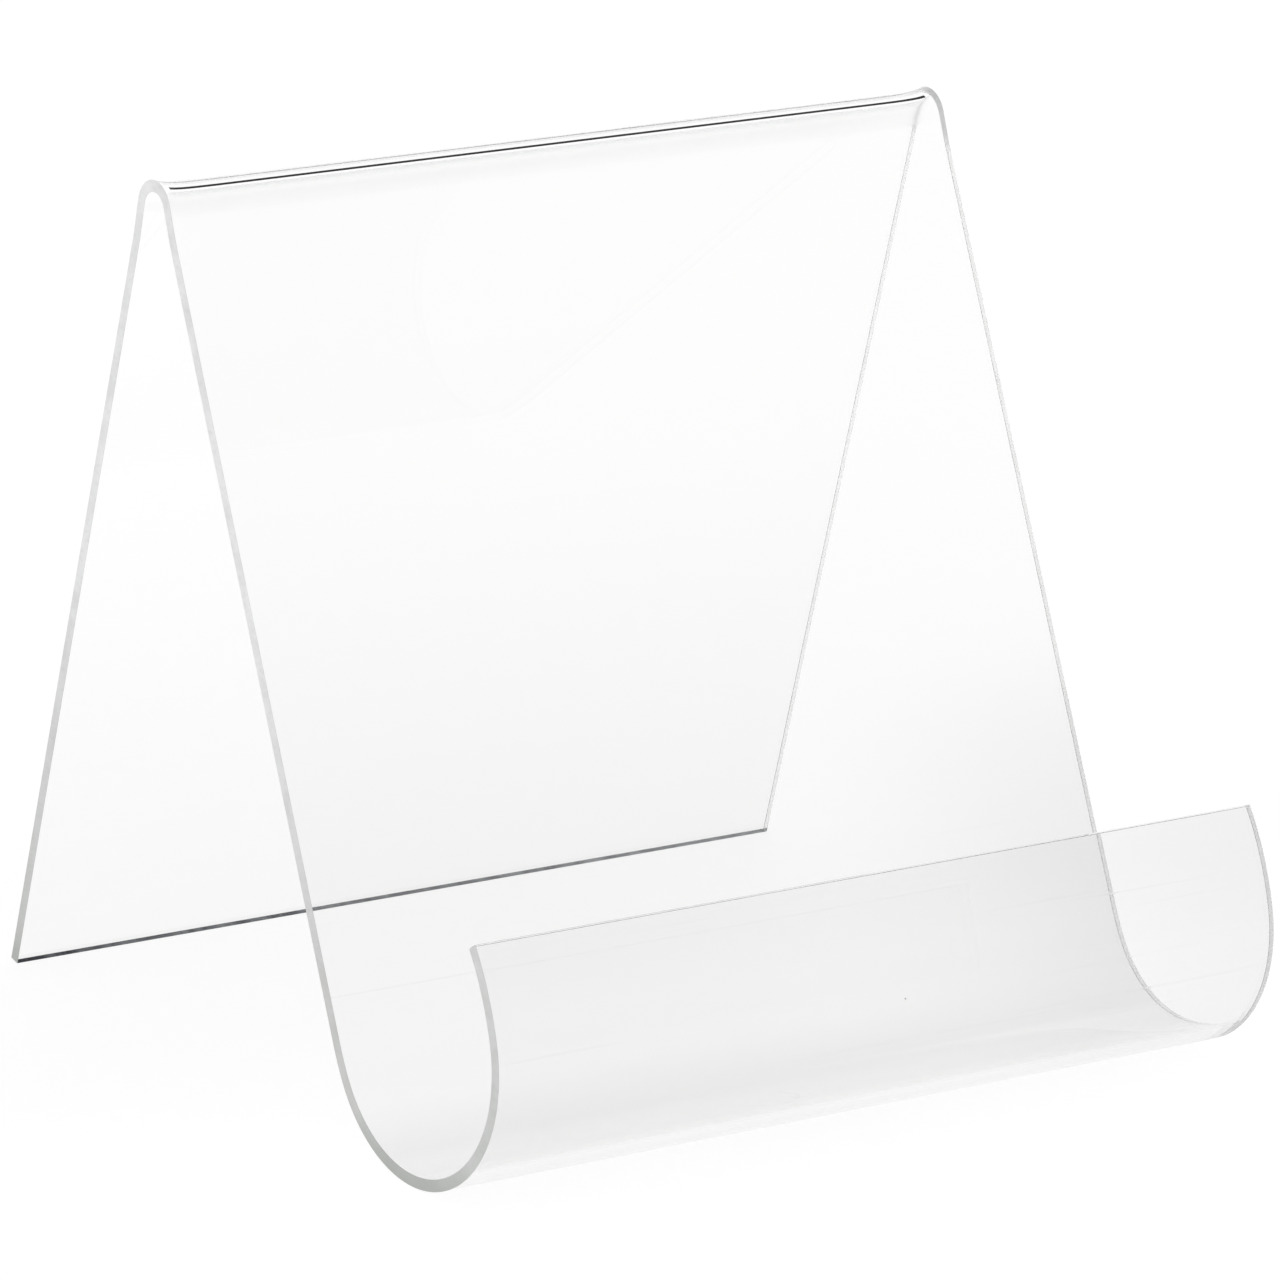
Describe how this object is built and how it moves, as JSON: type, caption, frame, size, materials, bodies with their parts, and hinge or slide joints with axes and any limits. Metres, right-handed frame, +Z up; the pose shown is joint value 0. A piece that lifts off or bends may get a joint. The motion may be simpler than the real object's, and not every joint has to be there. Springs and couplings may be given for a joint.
{
  "type": "plate display stand",
  "caption": "One-piece clear acrylic easel stand for a plate: a back leg, a sloping front panel and a rounded trough with an in-curled lip.",
  "frame": {"origin": "middle of the footprint at table height: halfway across the width and halfway from the front of the trough to the foot of the back leg", "axes": "+X across the width, +Y from the trough at the front towards the back leg, +Z up"},
  "size_m": [0.23, 0.216, 0.2135],
  "materials": {
    "clear_acrylic": "polished"
  },
  "bodies": {
    "root": {"bent_acrylic_sheet": "clear_acrylic"}
  },
  "joints": []
}
